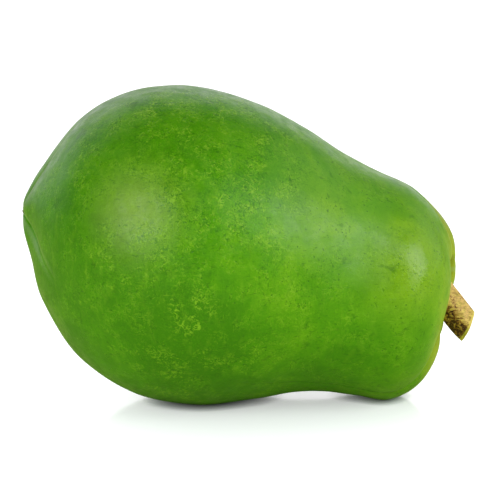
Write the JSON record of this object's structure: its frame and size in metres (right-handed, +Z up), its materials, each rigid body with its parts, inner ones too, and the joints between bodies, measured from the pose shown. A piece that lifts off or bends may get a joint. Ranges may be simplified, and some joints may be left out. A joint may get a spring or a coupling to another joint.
{
  "type": "papaya",
  "caption": "Whole green papaya lying on its side, pear shaped with a lobed neck end and a cut stub of stalk, for fruit displays, kitchens and market scenes.",
  "frame": {"origin": "middle of the overall length and width, level with the flat spots the fruit rests on", "axes": "+X from the blossom tip towards the stalk, along the longest extent; +Z up; -Y is the front"},
  "size_m": [0.2197, 0.1508, 0.1537],
  "materials": {
    "skin": "satin to glossy waxy green skin with a fine mottle of lighter flecks",
    "stalk": "matt yellow-tan stalk with dried brown and black blotches and a pale cut end"
  },
  "bodies": {
    "root": {"fruit": "skin", "stalk": "stalk"}
  },
  "joints": []
}
